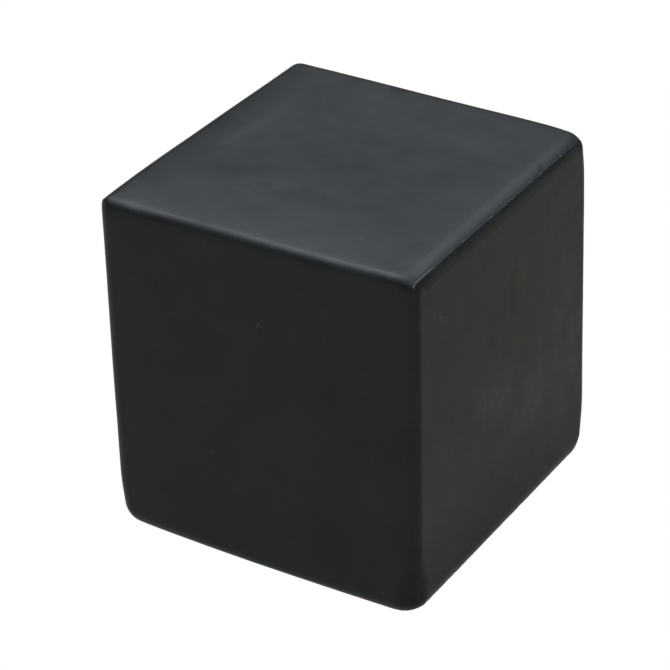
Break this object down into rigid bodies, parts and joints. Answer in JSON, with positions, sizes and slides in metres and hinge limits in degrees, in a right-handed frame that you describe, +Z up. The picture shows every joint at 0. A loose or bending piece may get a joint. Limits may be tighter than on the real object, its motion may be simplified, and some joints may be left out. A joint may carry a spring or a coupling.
{
  "type": "moulded foam cube",
  "caption": "Near-cubic block of squeezable foam with its own smooth moulded skin, soft rounded edges and a trimmed parting line round one face.",
  "frame": {"origin": "centre of the base, on the surface that the block stands on", "axes": "+Z up; +X is the face that the mould's lid formed, which the parting line runs round; -Y is the front face, on its left when both are in view"},
  "size_m": [0.056, 0.057, 0.06],
  "materials": {
    "foam": "matte",
    "skin": "satin",
    "flash": "matte"
  },
  "bodies": {
    "root": {"foam_core": "foam", "cavity_skin": "skin", "lid_skin": "skin", "parting_flash": "flash"}
  },
  "joints": []
}
